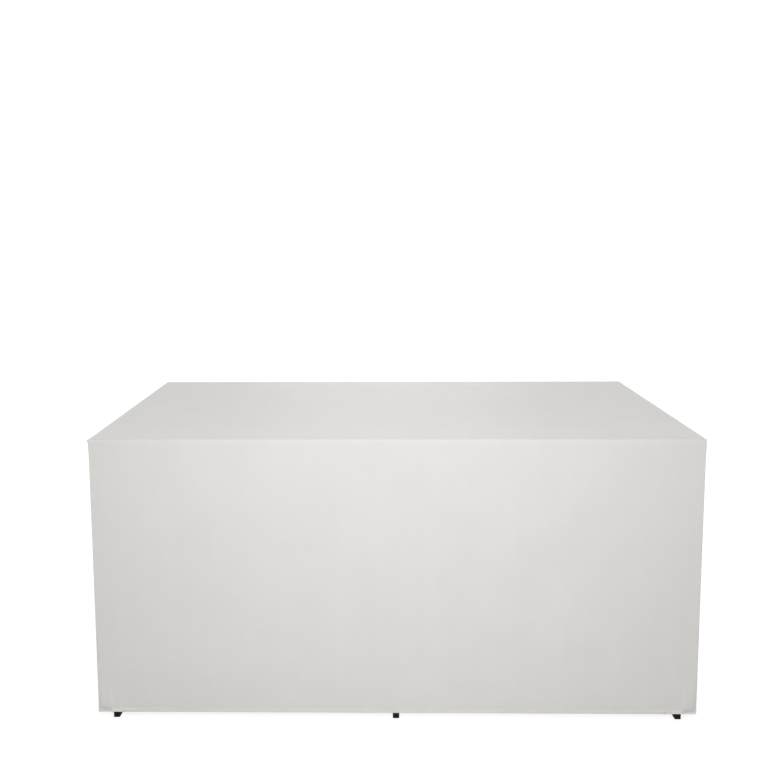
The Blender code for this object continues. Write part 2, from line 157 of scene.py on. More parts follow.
# Steps of the cloth's grid
FINE_STEP = 0.0025
MIDDLE_STEP = 0.005
COARSE_STEP = 0.024
FRONT_ZONES = (0.120, 0.140)  # fine, then middling steps from each end of a panel
SIDE_ZONES = (0.020, 0.110)
HEM_ROWS = 0.015  # rows of the folds, up from the hem
HEM_ROW_STEP = 0.0012
LOW_ROWS = 0.060
LOW_ROW_STEP = 0.0075
BOARD_ROWS = 0.020  # rows of the board's edge start this far under the step in
BOARD_ROW_STEP = 0.006
EDGE_ROW_STEP = 0.005
SEAM_CLEAR = 0.0016
SEAM_ROWS = (-0.0008, 0.0, 0.0006)
CORNER_STEPS = 6
EDGE_STEPS = 6
REAR_RUN = 8.0  # places the valance clear of the skirt in the cloth's own coordinates
TOP_RUN = 4.0
JOIN_DIGITS = 5  # points of one cloth that agree to so many decimals are one point
APART_DIGITS = 7
FRONT_FACING = 0.99  # a column that faces further forward than this is on the front
SIDE_FACING = 0.01  # and one that faces no further forward or back than this is on a side
LEVEL_SLACK = 1e-9

# Hems, bindings and stitches
BAND_FOLD = 0.0009  # turned edge below the cloth's own edge
BAND_ROUND = 0.0006
BAND_STEP = 0.0013
HEM_BAND = 0.012
HEM_PROUD = 0.00055
HEM_STITCHES = (0.0052, 0.0092)
BINDING_BAND = 0.013
BINDING_PROUD = 0.00075
BINDING_STITCHES = (0.0104,)
BINDING_TURN = 0.030  # the binding comes upright over this length at the arch's ends
TAPE_BAND = 0.008
TAPE_PROUD = 0.00045
TAPE_OUTSIDE = 0.0015
TAPE_STITCHES = (0.0056,)
GROOVE = 0.00022
GROOVE_HALF = 0.0009
STITCH_PITCH = 0.0042
STITCH_LENGTH = 0.0031
STITCH_RADIUS = 0.00030
STITCH_SIDES = 5
STITCH_BEND = ((-1, -0.8, 0.15), (-0.62, 0.1, 0.9), (0.0, 0.35, 1.0), (0.62, 0.1, 0.9), (1, -0.8, 0.15))

# Leg sleeves
LOOP_STEPS = 4  # in each corner of a loop
SLEEVE_CLOTH = 0.0005
SLEEVE_CORNER = 0.0030
SLEEVE_HEM = 0.0100
SLEEVE_HEM_PROUD = 0.0005
SLEEVE_ROOM = 0.0022  # from the post to the sleeve
SLEEVE_BEHIND = 0.0003  # from the valance and the side panel to the sleeve
SLEEVE_OVERLAP = 0.055  # sleeve above the arch's ends, behind the valance
SLEEVE_STEP = 0.015
SLEEVE_CREASE = 0.0004
SLEEVE_WAVES = 40.0

# Board and fixings
BOARD_EASE = 0.0090
BOARD_ROOM = 0.0002  # the cloth's clearance round the board
BOARD_STEPS = 6
BOARD_FLAT = 0.002  # flat rim inside the eased edge
PLY_THICK = 0.0022
SOCKET_RADIUS = 0.0055
SOCKET_DEPTH = 0.0130
SOCKET_SIDES = 24
LEAF_FACE = 0.0023  # from a post's face to the free face of the leaf on it
RIVET_RADIUS = 0.0032
RIVET_HEIGHT = 0.0013
RIVET_STEPS = 16
RIVET_RINGS = 5
RIVET_SPREAD = 0.025
RIVET_EDGE = 0.0068  # from a side post's edge to its rivets
WELD_RADIUS = 0.0013
WELD_PITCH = 0.0023
WELD_STATIONS = 4
WELD_SIDES = 6
WELD_SWELL = 0.35
WELD_CORNER = 0.002  # a bead stops this far from a tube's corner
WELD_OUTER = 0.003  # and this far from a side frame's outer face
FOOT_CORNER = 0.0022
FOOT_EDGE = 0.0010
FOOT_ROUND = 0.3  # middle of a rounded edge, as a share of it
FOOT_TAPER = 0.006
FOOT_SOLE = 0.0050
FOOT_GROOVE = 0.0005
FOOT_FORWARD = 0.0040  # the front glides reach out in front of the rail
FOOT_SPREAD = 0.0011  # and a little past their solids' sides
FOOT_GAP = 0.0003  # between a glide and its rail

# Cloth colours, stage and light
KNIT_LIGHT = (0.800, 0.786, 0.768)
KNIT_DARK = (0.772, 0.758, 0.740)
BINDING_LIGHT = (0.825, 0.811, 0.793)
BINDING_DARK = (0.795, 0.781, 0.763)
WHITE = (1.0, 1.0, 1.0, 1.0)
FLOOR_COLOUR = (0.67, 0.66, 0.64, 1.0)
FLOOR_SHADED = (0.30, 0.30, 0.30, 1.0)
FLOOR_PLAIN = 0.84  # light the floor gives off by itself near the object
FLOOR_NEAR = 1.4
FLOOR_FAR = 4.5
FLOOR_HALF = 30.0
WORLD_LIGHT = 0.33
LAMPS = (  # name, place, target, width, height and watts
    ("front_lamp", (0.0, -2.0, 2.0), (0.0, -0.4, 0.6), 1.4, 0.8, 22.0),
    ("fill_lamp", (0.0, -2.2, 0.9), (0.0, -0.4, 0.5), 1.4, 0.6, 8.2),
    ("top_lamp", (0.0, 1.0, 2.9), (0.0, 0.2, 0.8), 3.4, 1.0, 13.0),
    ("side_lamp_left", (-2.7, 0.1, 1.5), (-0.9, 0.1, 0.5), 0.8, 1.2, 10.0),
    ("side_lamp_right", (2.7, 0.1, 1.5), (0.9, 0.1, 0.5), 0.8, 1.2, 10.0),
    ("rear_lamp", (0.0, 3.2, 1.45), (0.0, 0.3, 0.6), 1.9, 1.0, 31.0),
    ("low_rear_lamp", (-1.5, 2.8, 0.5), (0.6, 0.0, 0.3), 0.9, 0.5, 9.0),
)

# Photograph frame and camera
PHOTO_WIDTH = 780
PHOTO_HEIGHT = 781
FOCAL_PIXELS = 724.3
VIEW_CENTRE_X = 375.1
VIEW_CENTRE_Y = 300.3
SENSOR = 36.0
CLIP_NEAR = 0.05
CLIP_FAR = 200.0
CAMERA_PLACE = Vector((-0.0341, -half_depth - 2.0857, 1.5067))
CAMERA_YAW = -0.0121
CAMERA_PITCH = 0.1021
CAMERA_ROLL = -0.0040

hem_z = panel_z + BAND_FOLD + HEM_LIFT
edge_in = EDGE_SINK + EDGE_RADIUS  # the corner arcs meet at one point of the top
top_z = cover_high.z - TOP_DROP
edge_z = top_z - EDGE_RADIUS
corner_x = half_length - edge_in
corner_y = half_depth - edge_in
turn = edge_in * math.pi / 2  # cloth round one upright edge
rail_push = CLOTH + RAIL_ROOM + HEM_PROUD - (half_depth + rail_low.y)  # hem clear of the rail
foot_reach = (corner_x - foot_high.x, corner_x - foot_low.x)  # from the front's end, both feet alike


def arch_height(x):
    """Lower edge of the rear valance."""
    return spring_z + ARCH_RISE * (1 - abs(x / half_length) ** ARCH_POWER)


def smooth(share):
    """0 to 1 with flat ends."""
    share = min(1.0, max(0.0, share))
    return share * share * (3 - 2 * share)


def bell(distance, width):
    return math.exp(-((distance / width) ** 2))


def wander(*place):
    """A smooth uneven value between -1 and 1."""
    return noise.noise(Vector(place))


def evenly(start, stop, step):
    """Points from start to stop, both included, about one step apart."""
    count = max(1, round(abs(stop - start) / step))
    return [start + (stop - start) * i / count for i in range(count + 1)]


def quarter_turn(steps):
    """Angles of a quarter turn, both ends included."""
    return [i / steps * math.pi / 2 for i in range(steps + 1)]


def panel_places(half, zones):
    """Places across a panel, close together near its ends."""
    fine, middling = zones
    end = evenly(0.0, fine, FINE_STEP) + evenly(fine, middling, MIDDLE_STEP)[1:]
    first = [place - half for place in end]
    last = [half - place for place in reversed(end)]
    return first + evenly(first[-1], last[0], COARSE_STEP)[1:-1] + last


def add_object(name, data):
    made = bpy.data.objects.new(name, data)
    bpy.context.scene.collection.objects.link(made)
    return made


class Cloth:
    """Collects grids of points into one mesh whose coinciding points are shared."""

    def __init__(self, shared=True):
        self.digits = JOIN_DIGITS if shared else APART_DIGITS  # small solids that overlap stay apart
        self.points = []
        self.index = {}
        self.faces = []
        self.uvs = []

    def point(self, place):
        key = tuple(round(c, self.digits) for c in place)
        if key not in self.index:
            self.index[key] = len(self.points)
            self.points.append(place)
        return self.index[key]

    def face(self, corners):
        """Corners are (place, uv); corners that fall together are used once."""
        kept = []
        for place, uv in corners:
            index = self.point(place)
            if index not in [k for k, _ in kept]:
                kept.append((index, uv))
        if len(kept) > 2:
            self.faces.append([k for k, _ in kept])
            self.uvs.append([uv for _, uv in kept])

    def grid(self, rows, closed=False):
        for low, high in zip(rows, rows[1:]):
            count = len(low)
            for j in range(count if closed else count - 1):
                k = (j + 1) % count
                self.face((low[j], low[k], high[k], high[j]))

    def solid(self, rows):
        """A closed form: rows round it from its foot up, and a face on each end."""
        self.grid(rows, closed=True)
        self.face(rows[0][::-1])
        self.face(rows[-1])

    def object(self, name, material):
        mesh = bpy.data.meshes.new(name)
        mesh.from_pydata(self.points, [], self.faces)
        layer = mesh.uv_layers.new(name="metres")
        for polygon, uvs in zip(mesh.polygons, self.uvs):
            polygon.use_smooth = True
            for loop, uv in zip(polygon.loop_indices, uvs):
                layer.data[loop].uv = uv
        mesh.materials.append(material)
        return add_object(name, mesh)


def round_row(centre, across, facing, radius, sides, run):
    """Points round a centre, in the plane of two directions."""
    row = []
    for i in range(sides):
        angle = math.tau * i / sides
        reach = across * math.cos(angle) + facing * math.sin(angle)
        row.append((centre + reach * radius, (angle, run)))
    return row


def add_turned(cloth, centre, facing, profile, steps):
    """A turned solid on a face: profile of (radius, height), from its foot up to its axis."""
    side = facing.orthogonal().normalized()
    other = facing.cross(side)
    cloth.solid([
        round_row(centre + facing * height, side, other, radius, steps, height)
        for radius, height in profile
    ])


def thicken(piece, thickness):
    solid = piece.modifiers.new("thickness", "SOLIDIFY")
    solid.thickness = thickness
    solid.offset = -1
    solid.use_even_offset = True


# Materials

def plug(tree, node, inputs):
    """Sets a node's inputs: another node's output is linked, a plain value is put in."""
    for socket, value in inputs.items():
        if isinstance(value, bpy.types.NodeSocket):
            tree.links.new(value, node.inputs[socket])
        else:
            node.inputs[socket].default_value = value


def add_node(tree, kind, inputs=None, **settings):
    made = tree.nodes.new("ShaderNode" + kind)
    for name, value in settings.items():
        setattr(made, name, value)
    plug(tree, made, inputs or {})
    return made


def maths(tree, operation, *values):
    return add_node(tree, "Math", dict(enumerate(values)), operation=operation).outputs["Value"]


def ramp(tree, factor, stops):
    made = add_node(tree, "ValToRGB", {"Fac": factor})
    elements = made.color_ramp.elements
    while len(elements) < len(stops):
        elements.new(0.5)
    for element, (place, colour) in zip(elements, stops):
        element.position = place
        element.color = (*colour, 1.0)
    return made.outputs["Color"]


def value_range(tree, value, low, high, start=0.0, stop=1.0):
    inputs = {"Value": value, "From Min": start, "From Max": stop, "To Min": low, "To Max": high}
    return add_node(tree, "MapRange", inputs).outputs["Result"]


def noise_of(tree, vector, scale, detail=2.0, roughness=0.5):
    inputs = {"Vector": vector, "Scale": scale, "Detail": detail, "Roughness": roughness}
    return add_node(tree, "TexNoise", inputs).outputs["Fac"]


def bands_of(tree, vector, direction, scale, distortion):
    inputs = {"Vector": vector, "Scale": scale, "Distortion": distortion}
    made = add_node(tree, "TexWave", inputs, wave_type="BANDS", bands_direction=direction)
    return made.outputs["Fac"]


def stretched(tree, vector, scale):
    return add_node(tree, "Mapping", {"Vector": vector, "Scale": scale}).outputs["Vector"]


def part_of(tree, vector, axis):
    return add_node(tree, "SeparateXYZ", {"Vector": vector}).outputs[axis]


def multiplied(tree, colour, factor):
    inputs = {"Fac": 1.0, "Color1": colour, "Color2": factor}
    return add_node(tree, "MixRGB", inputs, blend_type="MULTIPLY").outputs["Color"]


def bump(tree, height, distance, strength=1.0, under=None):
    inputs = {"Height": height, "Distance": distance, "Strength": strength}
    if under is not None:
        inputs["Normal"] = under
    return add_node(tree, "Bump", inputs).outputs["Normal"]


def new_material(name):
    """A material with its Principled shader and the places a texture can follow."""
    material = bpy.data.materials.new(name)
    material.use_nodes = True
    tree = material.node_tree
    shader = tree.nodes["Principled BSDF"]
    places = add_node(tree, "TexCoord").outputs
    return material, tree, shader, places


def painted_seam_shade(tree, places):
    """Painted shade: darker cloth in patches along the top's front edge, over the seam allowance, where
    the seam's lip would shade the top.
    """
    across = part_of(tree, places["UV"], "Y")
    inner = TOP_RUN - corner_y + SEAM_SHADE_WIDTH
    strip = value_range(tree, across, 1.0, 0.0, inner - SEAM_SHADE_SOFT, inner)
    on_top = maths(tree, "GREATER_THAN", across, TOP_RUN / 2)
    uneven = noise_of(tree, places["Object"], SEAM_SHADE_PATCHES, 3.0)
    patches = value_range(tree, uneven, 0.0, 1.0, *SEAM_SHADE_LEVELS)
    share = maths(tree, "MULTIPLY", maths(tree, "MULTIPLY", strip, on_top), patches)
    return value_range(tree, share, 1.0, SEAM_SHADE_TINT)


def knit_material(name, light, dark, sheen):
    """Warp knit: fine wales along the length, cross courses and a soft mottle, with painted shade in the
    loops' gaps and painted highlight on their tops.
    """
    material, tree, shader, places = new_material(name)
    wales = bands_of(tree, places["UV"], "X", 190.0, 0.6)
    courses = bands_of(tree, places["UV"], "Y", 240.0, 0.8)
    loops = maths(tree, "MULTIPLY", wales, courses)
    mottle = noise_of(tree, places["Object"], 7.0, 5.0, 0.62)
    streaks = noise_of(tree, stretched(tree, places["UV"], (26.0, 1.6, 1.0)), 1.0, 3.0)
    cloud = maths(tree, "MULTIPLY_ADD", streaks, 0.4, mottle)
    tint = ramp(tree, value_range(tree, cloud, 0.0, 1.0, 0.45, 0.95), ((0.0, dark), (1.0, light)))
    # painted shade in the gaps between the loops and painted highlight on their tops
    colour = multiplied(tree, tint, value_range(tree, loops, 0.955, 1.135))
    soft = bump(tree, mottle, 0.0003, 0.20)
    plug(tree, shader, {
        # the top's front strip is darkened by painted shade of the seam's lip
        "Base Color": multiplied(tree, colour, painted_seam_shade(tree, places)),
        "Roughness": value_range(tree, mottle, 0.58, 0.72),
        "Specular IOR Level": 0.17,
        "Sheen Weight": sheen,
        "Sheen Roughness": 0.45,
        "Normal": bump(tree, loops, 0.00020, 0.60, soft),
    })
    return material


def thread_material():
    material, tree, shader, places = new_material("sewing_thread")
    ply = noise_of(tree, places["Object"], 900.0, 1.0)
    plug(tree, shader, {
        "Base Color": ramp(tree, ply, ((0.3, (0.66, 0.645, 0.615)), (0.7, (0.80, 0.785, 0.755)))),
        "Roughness": 0.55,
        "Normal": bump(tree, ply, 0.0001, 0.6),
    })
    return material


def powder_coat(name, low, high, grain):
    """Black baked powder coat: orange peel, faint grey scuffs."""
    material, tree, shader, places = new_material(name)
    peel = noise_of(tree, places["Object"], grain, 2.0)
    scuffs = noise_of(tree, places["Object"], 23.0, 8.0, 0.72)
    plug(tree, shader, {
        "Base Color": ramp(tree, scuffs, ((0.46, low), (0.62, low), (0.78, high))),
        "Roughness": value_range(tree, scuffs, 0.34, 0.58),
        "Specular IOR Level": 0.32,
        "Normal": bump(tree, peel, 0.00025, 0.4),
    })
    return material


def moulded_plastic(name, low, high, rough, shine=0.22):
    """Moulded plastic: fine spark-eroded grain and a little dust in the colour."""
    material, tree, shader, places = new_material(name)
    grain = noise_of(tree, places["Object"], 1500.0, 2.0)
    dust = noise_of(tree, places["Object"], 60.0, 6.0, 0.65)
    plug(tree, shader, {
        "Base Color": ramp(tree, dust, ((0.40, low), (0.75, high))),
        "Roughness": value_range(tree, dust, rough, rough + 0.16),
        "Specular IOR Level": shine,
        "Normal": bump(tree, grain, 0.00012, 0.5),
    })
    return material


def brushed_metal(name, low, high, metallic, rough, along):
    """Drawn or brushed metal, with hair lines along one direction."""
    material, tree, shader, places = new_material(name)
    hair = noise_of(tree, stretched(tree, places["Object"], along), 1.0, 4.0, 0.7)
    stain = noise_of(tree, places["Object"], 45.0, 5.0, 0.6)
    plug(tree, shader, {
        "Base Color": ramp(tree, stain, ((0.30, low), (0.72, high))),
        "Roughness": value_range(tree, hair, rough - 0.10, rough + 0.14),
        "Metallic": metallic,
        "Normal": bump(tree, hair, 0.00008, 0.5),
    })
    return material


def board_material():
    """Plywood core showing at the edges under a pale flecked laminate on both faces."""
    material, tree, shader, places = new_material("board_laminate_fleck")
    fleck = noise_of(tree, places["Object"], 420.0, 3.0, 0.7)
    cloud = noise_of(tree, places["Object"], 5.0, 4.0)
    face = ramp(tree, fleck, (
        (0.30, (0.50, 0.49, 0.47)), (0.52, (0.66, 0.65, 0.62)), (0.75, (0.72, 0.71, 0.68)),
    ))
    plies = maths(tree, "MULTIPLY", part_of(tree, places["Object"], "Z"), 1 / PLY_THICK)
    layer = maths(tree, "PINGPONG", plies, 1.0)
    grain = noise_of(tree, stretched(tree, places["Object"], (30.0, 30.0, 900.0)), 1.0, 5.0, 0.7)
    wood = ramp(tree, maths(tree, "MULTIPLY", layer, grain), (
        (0.10, (0.26, 0.155, 0.075)), (0.30, (0.52, 0.36, 0.20)), (0.60, (0.66, 0.50, 0.31)),
    ))
    facing = add_node(tree, "NewGeometry").outputs["True Normal"]
    flat = maths(tree, "ABSOLUTE", part_of(tree, facing, "Z"))
    is_face = maths(tree, "GREATER_THAN", flat, 0.5)
    colour = add_node(tree, "MixRGB", {"Fac": is_face, "Color1": wood, "Color2": face})
    plug(tree, shader, {
        "Base Color": colour.outputs["Color"],
        "Roughness": value_range(tree, cloud, 0.36, 0.52),
        "Normal": bump(tree, fleck, 0.00008, 0.5),
    })
    return material


knit = knit_material("stretch_knit", KNIT_LIGHT, KNIT_DARK, 0.08)
binding_knit = knit_material("binding_knit", BINDING_LIGHT, BINDING_DARK, 0.10)
thread = thread_material()
steel = powder_coat("black_powder_coat", (0.012, 0.012, 0.013), (0.045, 0.045, 0.047), 900.0)
hinge_black = brushed_metal(
    "black_hinge_steel", (0.020, 0.020, 0.021), (0.055, 0.054, 0.052), 0.55, 0.40, (40.0, 40.0, 1600.0)
)
zinc = brushed_metal(
    "zinc_pin_steel", (0.42, 0.42, 0.43), (0.56, 0.55, 0.54), 1.0, 0.34, (2200.0, 2200.0, 160.0)
)
zinc_dark = brushed_metal(
    "dark_rivet_steel", (0.10, 0.10, 0.10), (0.19, 0.185, 0.18), 1.0, 0.38, (300.0, 300.0, 300.0)
)
foot_plastic = moulded_plastic(
    "foot_plastic", (0.006, 0.006, 0.006), (0.016, 0.016, 0.015), 0.50, shine=0.08
)
cap_plastic = moulded_plastic("cap_plastic", (0.014, 0.014, 0.015), (0.036, 0.035, 0.034), 0.42)
clip_plastic = moulded_plastic("clip_plastic", (0.012, 0.012, 0.013), (0.030, 0.030, 0.029), 0.40)
peg_plastic = moulded_plastic("peg_plastic", (0.020, 0.020, 0.021), (0.045, 0.044, 0.043), 0.38)
pad_rubber = moulded_plastic("pad_rubber", (0.016, 0.016, 0.016), (0.050, 0.048, 0.046), 0.70)
laminate = board_material()

NODE_FINISHES = (
    ("table_board", laminate),
    ("hinge_pin_", zinc),
    ("hinge_", hinge_black),
    ("foot_", foot_plastic),
    ("clip_", clip_plastic),
    ("pad_", pad_rubber),
    ("board_peg_", peg_plastic),
    (("front_top_rail_cap_", "front_bottom_rail_cap_"), cap_plastic),
    (("front_", "left_", "right_"), steel),
)


def finish_nodes():
    """Each CAD node takes the finish of the first name it starts with."""
    for name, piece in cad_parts.items():
        finish = next((m for start, m in NODE_FINISHES if name.startswith(start)), knit)
        piece.data.materials.clear()
        piece.data.materials.append(finish)


# Cover

def skirt_sink(z, step_in):
    """How far the cloth lies inside the widest line at this height."""
    below = smooth((board_low.z - z) / STEP_DROP)
    away_from_rear = (step_in - REAR_SINK) / (LOWER_SINK - REAR_SINK)
    flare = HEM_FLARE * away_from_rear * max(0.0, 1 - (z - hem_z) / FLARE_RISE) ** FLARE_POWER
    above = max(0.0, z - board_low.z) / (edge_z - board_low.z)
    height_share = (z - hem_z) / (board_low.z - hem_z)
    bow = PANEL_BOW * max(0.0, 4 * height_share * (1 - height_share))
    seam = SEAM_DEPTH * bell(z - (edge_z - SEAM_BELOW_EDGE), SEAM_WIDTH)
    return step_in * below + EDGE_SINK * above ** EDGE_LEAN + bow + seam - flare


class Column:
    """One upright line of the skirt: where it stands, where it faces and how far round it is."""

    def __init__(self, place, facing, run, from_corner, step_in=LOWER_SINK, seam=0.0):
        self.place = Vector((place[0], place[1], 0.0))
        self.facing = Vector((facing[0], facing[1], 0.0))
        self.run = run
        self.on_front = -facing[1] > FRONT_FACING
        self.from_corner = from_corner  # distance along the panel from its nearer end
        self.step_in = step_in
        self.seam = seam

    def at(self, push, z):
        """The point this far out from the line, at a height."""
        return self.place + self.facing * push + Vector((0.0, 0.0, z))


side_places = panel_places(corner_y, SIDE_ZONES)
front_places = panel_places(corner_x, FRONT_ZONES)


def corner_columns(x_side, y_side, first_angle, run):
    """A quarter turn round one upright edge, with the seam at its middle."""
    columns = []
    for i in range(CORNER_STEPS + 1):
        share = i / CORNER_STEPS
        angle = first_angle + share * math.pi / 2
        facing = (math.cos(angle), math.sin(angle))
        place = (x_side * corner_x + edge_in * facing[0], y_side * corner_y + edge_in * facing[1])
        step_in = LOWER_SINK + (REAR_SINK - LOWER_SINK) * max(0.0, facing[1])
        seam = SEAM_DEPTH * bell(share - 0.5, SEAM_SPREAD)
        columns.append(Column(place, facing, run + share * turn, 0.0, step_in, seam))
    return columns


def skirt_columns():
    """Round the left side, the front and the right side, from one rear corner to the other."""
    panels = (
        (side_places, corner_y, lambda p: (-half_length, -p), (-1, 0), (-1, -1)),
        (front_places, corner_x, lambda p: (p, -half_depth), (0, -1), (1, -1)),
        (side_places, corner_y, lambda p: (half_length, p), (1, 0), (1, 1)),
    )
    columns = corner_columns(-1, 1, math.pi / 2, 0.0)
    run = turn
    for count, (places, half, to_point, facing, corner) in enumerate(panels, 2):
        for place in places[1:-1]:
            columns.append(Column(to_point(place), facing, run + place + half, half - abs(place)))
        run += 2 * half
        columns += corner_columns(*corner, count * math.pi / 2, run)
        run += turn
    return columns


def between(value, start, stop):
    """1 between two places, and 0 beyond them."""
    return smooth((value - start) / FOLD_END + 1) * smooth((stop - value) / FOLD_END + 1)


def side_gather(column, rise):
    """Uneven gathers in a side hem, near its front corner."""
    if abs(column.facing.y) > SIDE_FACING or column.place.y > 0:
        return 0.0
    start = smooth(column.from_corner / PUCKER_START)
    share = start * smooth(1 - column.from_corner / PUCKER_REACH)
    wave = wander(column.run / PUCKER_PITCH, *PUCKER_SEED)
    return PUCKER * share * wave * math.exp(-rise / PUCKER_RISE)


def drawn_in(along, above_hem):
    """The hem drawn in near a corner, and the cloth above it that stands out."""
    share = smooth(along / DRAW_START) * smooth((DRAW_STOP - along) / DRAW_SOFT)
    if above_hem < DRAW_HEIGHT:
        push = (DRAW_IN + DRAW_OUT) * smooth(above_hem / DRAW_HEIGHT) - DRAW_IN
    else:
        push = DRAW_OUT * (1 - smooth((above_hem - DRAW_HEIGHT) / DRAW_FADE))
    return share * push


def foot_folds(column, above_hem):
    """How far out and up the front hem lies by a corner foot.

    It is creased towards the corner, rolled over the foot and tucked in beside it.
    """
    if not column.on_front:
        return 0.0, 0.0
    along = column.from_corner
    tuck, ridge = (TUCK_LEFT, RIDGE_LEFT) if column.place.x < 0 else (TUCK_RIGHT, RIDGE_RIGHT)
    crease_z = CREASE_LOW + CREASE_SLOPE * max(0.0, CREASE_END - along)
    crease = CREASE * bell(above_hem - crease_z, CREASE_WIDTH) * between(along, FOLD_END, CREASE_END)
    roll = ROLL * bell(above_hem, ROLL_HEIGHT) * between(along, *foot_reach)
    tucked = TUCK * bell(along - tuck, TUCK_WIDTH) * math.exp(-max(0.0, above_hem) / TUCK_RISE)
    ridge_start = tuck + RIDGE_START
    ridge *= bell(above_hem - RIDGE_AT, RIDGE_WIDTH)
    ridge *= between(along, ridge_start, ridge_start + RIDGE_LENGTH)
    drawn = drawn_in(along, above_hem)
    lift = FOLD_LIFT * (roll - tucked + min(0.0, drawn))
    return roll + ridge + drawn - crease - tucked, lift


def ear_push(column, z):
    """How far the cloth stands out at a corner of the top, where three seams meet."""
    front_left = column.place.x < 0 and column.place.y < 0
    height = EAR_FRONT_LEFT if front_left else EAR
    return height * bell(column.from_corner, EAR_REACH) * bell(z - edge_z - EAR_RISE, EAR_REACH)


def ripple(column, z, seeds):
    """Faint unevenness of a panel, which dies away at its ends and at the board."""
    fade = smooth(column.from_corner / RIPPLE_FADE) * smooth((board_low.z - z) / RIPPLE_DROP)
    broad, fine = (
        wander(column.run * along, z * upward, seed)
        for (along, upward), seed in zip((RIPPLE_BROAD, RIPPLE_FINE), seeds)
    )
    return RIPPLE * fade * (BROAD_SHARE * broad + (1 - BROAD_SHARE) * fine)


def skirt_point(column, z):
    """A point of the skirt's outer face at a height, with ripples and gathers."""
    above_hem = z - hem_z
    rise = max(0.0, above_hem)
    gather = side_gather(column, rise)
    wave = HEM_WAVE * wander(column.run * HEM_WAVES, *WAVE_SEED)
    fold, fold_lift = foot_folds(column, above_hem)
    lift = wave * smooth(column.from_corner / HEM_WAVE_START) * math.exp(-rise / HEM_WAVE_RISE)
    lift += PUCKER_LIFT * gather + fold_lift
    push = ripple(column, z, SKIRT_SEEDS) + ear_push(column, z) + gather + fold
    push -= skirt_sink(z, column.step_in) + column.seam
    if column.on_front and z + lift > rail_low.z - CLOTH:
        push = max(push, rail_push)
    return column.at(push, z + lift)


def valance_point(column, z):
    """A point of the valance's outer face."""
    push = ripple(column, z, VALANCE_SEEDS) + ear_push(column, z)
    return column.at(push - skirt_sink(z, column.step_in), z)


def skirt_levels():
    """Heights of the skirt's rows, close together at the hem, the arch's ends and the board."""
    arch_end = arch_height(corner_x)
    step_in = board_low.z - STEP_DROP
    seam_z = edge_z - SEAM_BELOW_EDGE
    folds = hem_z + HEM_ROWS
    low = evenly(hem_z, folds, HEM_ROW_STEP) + evenly(folds, hem_z + LOW_ROWS, LOW_ROW_STEP)[1:]
    middle = evenly(low[-1], arch_end, COARSE_STEP)[1:]
    high = evenly(arch_end, step_in - BOARD_ROWS, COARSE_STEP)[1:]
    board = evenly(high[-1], board_low.z, BOARD_ROW_STEP)[1:]
    board += evenly(board_low.z, seam_z - SEAM_CLEAR, EDGE_ROW_STEP)[1:]
    seam = [seam_z + rise for rise in SEAM_ROWS] + [edge_z]
    return low + middle + high + board + seam, arch_end


def edge_rows(columns):
    """The rounded top edge above the skirt."""
    rows = []
    for angle in quarter_turn(EDGE_STEPS)[1:]:
        inward = EDGE_SINK + EDGE_RADIUS * (1 - math.cos(angle))
        rise = EDGE_RADIUS * math.sin(angle)
        row = []
        for column in columns:
            ear = ear_push(column, edge_z + rise) * math.sqrt(max(0.0, math.cos(angle)))
            uv = (column.run, edge_z + angle * EDGE_RADIUS)
            row.append((column.at(ear - inward, edge_z + rise), uv))
        rows.append(row)
    return rows


def top_point(x, y):
    """The top face: a lip over the seam allowance, and a faint unevenness."""
    from_edge = min(corner_x - abs(x), corner_y - abs(y))
    fullness = LIP_LEAST + (1 - LIP_LEAST) * (1 + wander(x * LIP_WAVES, y * LIP_WAVES, LIP_SEED)) / 2
    behind = 1 - smooth((from_edge - LIP_PLACE) / LIP_WIDTH)
    lip = LIP * fullness * smooth(from_edge / LIP_PLACE) * behind
    lift = TOP_RIPPLE * smooth(from_edge / RIPPLE_FADE)
    uneven = (1 + wander(x * TOP_WAVES[0], y * TOP_WAVES[1], TOP_SEED)) / 2
    return Vector((x, y, top_z + lip + lift * uneven))


def rear_columns():
    """The valance's columns, from the right end to the left as seen from behind."""
    return [
        Column((x, half_depth), (0, 1), REAR_RUN - x, corner_x - abs(x), REAR_SINK)
        for x in reversed(front_places)
    ]


def build_cover():
    cloth = Cloth()
    columns = skirt_columns()
    levels, arch_end = skirt_levels()
    rows = [[(skirt_point(c, z), (c.run, z)) for c in columns] for z in levels]
    cloth.grid(rows + edge_rows(columns))

    cloth.grid([[(top_point(x, y), (x, y + TOP_RUN)) for x in front_places] for y in side_places])

    rear = rear_columns()
    upper = [z for z in levels if z >= arch_end - LEVEL_SLACK]
    rows = []
    for z in upper:
        share = (edge_z - z) / (edge_z - arch_end)
        heights = [edge_z - share * (edge_z - arch_height(c.place.x)) for c in rear]
        rows.append([(valance_point(c, height), (c.run, height)) for c, height in zip(rear, heights)])
    cloth.grid(rows + edge_rows(rear))
    cover = cloth.object("stretch_cover", knit)
    thicken(cover, CLOTH)
    return cover, columns


# Hems, bindings and stitches

def band_section(height, proud, stitch_rows):
    """Outline of a turned edge: (height on the cloth, distance out), up outside and down inside."""
    inside = -CLOTH - proud
    outline = [
        (-BAND_FOLD, -CLOTH / 2),
        (-0.8 * BAND_FOLD, 0.3 * proud),
        (-0.4 * BAND_FOLD, 0.85 * proud),
        (BAND_ROUND, proud),
    ]
    for row in stitch_rows:
        outline += [(row - GROOVE_HALF, proud), (row, proud - GROOVE), (row + GROOVE_HALF, proud)]
    outline += [
        (height - BAND_ROUND, 0.9 * proud),
        (height, 0.3 * proud),
        (height, -CLOTH - 0.3 * proud),
        (height - BAND_ROUND, -CLOTH - 0.9 * proud),
        (3 * BAND_ROUND, inside),
        (BAND_ROUND / 2, 0.85 * inside),
        (-BAND_ROUND, -CLOTH),
    ]
    return outline


